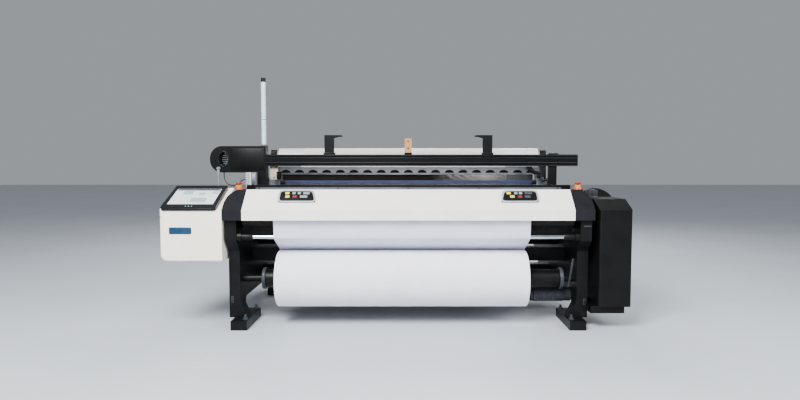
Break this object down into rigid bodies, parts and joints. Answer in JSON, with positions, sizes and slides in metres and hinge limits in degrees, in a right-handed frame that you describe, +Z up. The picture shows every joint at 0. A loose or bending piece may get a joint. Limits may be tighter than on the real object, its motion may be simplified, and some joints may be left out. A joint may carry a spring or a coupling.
{
  "type": "power loom",
  "caption": "Rapier power loom seen from the cloth side: white front cover over a large cloth roll, control cabinet with tablet, black drive cabinet, heald frames and a warp beam behind.",
  "frame": {"origin": "on the floor, in the middle of the four anchor bolt holes in the feet", "axes": "+X along the machine to the drive cabinet, +Y from the cloth side to the warp beam, +Z up"},
  "size_m": [3.215, 1.905, 1.776],
  "materials": {
    "frame_paint": "satin dark grey powder coat on cast iron",
    "cover_white": "satin white powder coat",
    "cap_grey": "textured dark grey moulded plastic",
    "cabinet_cream": "semi-gloss cream enamel",
    "black_paint": "satin black powder coat",
    "black_anodised": "black anodised extrusion",
    "chrome": "polished hard chrome",
    "steel": "ground steel",
    "grip_rubber": "grained black rubber sleeve",
    "cloth": "plain woven white cotton",
    "warp_yarn": "sized white cotton yarn",
    "roller_white": "smooth light grey enamel",
    "aluminium": "clear anodised extrusion",
    "reed_blue": "dark blue lacquered profile",
    "wood": "oiled beech",
    "lamp_diffuser": "frosted polycarbonate",
    "grey_plastic": "moulded grey ABS",
    "cable_jacket": "black PVC cable jacket",
    "tablet_black": "gloss black moulded housing",
    "display_glass": "lit display under glass",
    "stop_yellow": "moulded yellow plastic",
    "stop_red": "moulded red plastic",
    "key_panel": "printed polyester foil over a zinc rim",
    "motor_grey": "grey enamel on a ribbed casting",
    "tape": "woven carbon tape"
  },
  "bodies": {
    "frame": {"left_side_frame": "frame_paint", "right_side_frame": "frame_paint", "machine_feet": "frame_paint", "front_cross_beam": "frame_paint", "rear_cross_beam": "frame_paint", "breast_beam": "black_anodised", "front_cover": "cover_white", "left_frame_cover": "cap_grey", "right_frame_cover": "cap_grey", "control_cabinet": "cabinet_cream", "cabinet_bracket": "frame_paint", "tablet_case": "tablet_black", "tablet_screen": "display_glass", "drive_cabinet": "black_paint", "drive_cabinet_base": "black_paint", "main_motor": "motor_grey", "top_beam": "black_anodised", "beam_post": "black_paint", "frame_guides": "black_paint", "centre_guide": "wood", "rapier_housing": "black_paint", "weft_selector": "grey_plastic", "lamp_base": "grey_plastic", "lamp_tube": "lamp_diffuser", "lamp_cap": "grey_plastic", "sensor_cable": "cable_jacket", "cloth_sheet": "cloth", "warp_sheet": "warp_yarn", "temple_bar": "black_anodised", "temples": "steel", "guide_bar": "chrome", "take_up_motor": "motor_grey", "backrest_brackets": "frame_paint", "heald_guides": "grey_plastic", "rapier_gearboxes": "frame_paint", "wheel_guards": "black_paint", "stop_boxes": "stop_yellow", "left_key_pad": "key_panel", "right_key_pad": "key_panel"},
    "cloth_roll_body": {"cloth_roll": "cloth", "roll_core": "black_paint"},
    "sand_roller_body": {"sand_roller": "grip_rubber"},
    "press_roller_body": {"press_roller": "steel"},
    "backrest_body": {"backrest_roller": "roller_white"},
    "warp_beam_body": {"warp_beam": "aluminium", "warp_yarn": "warp_yarn"},
    "sley_body": {"sley": "black_paint", "reed": "reed_blue"},
    "heald_body_1": {"heald_frame_1": "aluminium"},
    "heald_body_2": {"heald_frame_2": "aluminium"},
    "heald_body_3": {"heald_frame_3": "aluminium"},
    "heald_body_4": {"heald_frame_4": "aluminium"},
    "left_wheel_body": {"left_rapier_wheel": "steel"},
    "right_wheel_body": {"right_rapier_wheel": "steel"},
    "left_rapier_body": {"left_rapier_head": "steel", "left_rapier_tape": "tape"},
    "right_rapier_body": {"right_rapier_head": "steel", "right_rapier_tape": "tape"},
    "left_stop_body": {"left_stop_button": "stop_red"},
    "right_stop_body": {"right_stop_button": "stop_red"}
  },
  "joints": [
    {"name": "cloth_roll_spin", "type": "hinge", "parent": "frame", "child": "cloth_roll_body", "pos_m": [0, -0.54, 0.316], "axis": [1, 0, 0], "continuous": true},
    {"name": "sand_roller_spin", "type": "hinge", "parent": "frame", "child": "sand_roller_body", "pos_m": [0, -0.5619, 0.692], "axis": [1, 0, 0], "continuous": true},
    {"name": "press_roller_spin", "type": "hinge", "parent": "frame", "child": "press_roller_body", "pos_m": [0, -0.66715, 0.74288], "axis": [1, 0, 0], "continuous": true},
    {"name": "warp_beam_spin", "type": "hinge", "parent": "frame", "child": "warp_beam_body", "pos_m": [0, 0.74, 0.45], "axis": [1, 0, 0], "continuous": true},
    {"name": "backrest_spin", "type": "hinge", "parent": "frame", "child": "backrest_body", "pos_m": [0, 0.6, 1.174], "axis": [1, 0, 0], "continuous": true},
    {"name": "sley_swing", "type": "hinge", "parent": "frame", "child": "sley_body", "pos_m": [0, -0.06, 0.52], "axis": [-1, 0, 0], "range_deg": [-13, 0]},
    {"name": "heald_lift_1", "type": "slide", "parent": "frame", "child": "heald_body_1", "axis": [0, 0, 1], "range_m": [-0.045, 0.045], "deforming": ["warp_sheet"]},
    {"name": "heald_lift_2", "type": "slide", "parent": "frame", "child": "heald_body_2", "axis": [0, 0, 1], "range_m": [-0.045, 0.045], "deforming": ["warp_sheet"]},
    {"name": "heald_lift_3", "type": "slide", "parent": "frame", "child": "heald_body_3", "axis": [0, 0, 1], "range_m": [-0.045, 0.045], "deforming": ["warp_sheet"]},
    {"name": "heald_lift_4", "type": "slide", "parent": "frame", "child": "heald_body_4", "axis": [0, 0, 1], "range_m": [-0.045, 0.045], "deforming": ["warp_sheet"]},
    {"name": "left_rapier_swing", "type": "hinge", "parent": "frame", "child": "left_wheel_body", "pos_m": [-1.4, -0.15, 0.7607], "axis": [0, 1, 0], "range_deg": [0, 355]},
    {"name": "right_rapier_swing", "type": "hinge", "parent": "frame", "child": "right_wheel_body", "pos_m": [1.4, -0.15, 0.7607], "axis": [0, -1, 0], "range_deg": [0, 355.1]},
    {"name": "left_rapier_slide", "type": "slide", "parent": "frame", "child": "left_rapier_body", "axis": [1, 0, 0], "range_m": [0, 0.93], "deforming": ["left_rapier_tape"]},
    {"name": "right_rapier_slide", "type": "slide", "parent": "frame", "child": "right_rapier_body", "axis": [-1, 0, 0], "range_m": [0, 0.93], "deforming": ["right_rapier_tape"]},
    {"name": "left_stop_press", "type": "slide", "parent": "frame", "child": "left_stop_body", "axis": [0, 0, -1], "range_m": [0, 0.004], "stiffness_N_per_m": 1500, "springref_m": -0.002},
    {"name": "right_stop_press", "type": "slide", "parent": "frame", "child": "right_stop_body", "axis": [0, 0, -1], "range_m": [0, 0.004], "stiffness_N_per_m": 1500, "springref_m": -0.002}
  ],
  "couplings": [
    {"joint": "sand_roller_spin", "follows": "cloth_roll_spin", "ratio": 2.7857},
    {"joint": "press_roller_spin", "follows": "cloth_roll_spin", "ratio": -4.3333},
    {"joint": "backrest_spin", "follows": "warp_beam_spin", "ratio": 4.7143},
    {"joint": "right_rapier_swing", "follows": "left_rapier_swing", "ratio": 1},
    {"joint": "left_rapier_slide", "follows": "left_rapier_swing", "m_per_rad": 0.15},
    {"joint": "right_rapier_slide", "follows": "left_rapier_swing", "m_per_rad": 0.15}
  ]
}
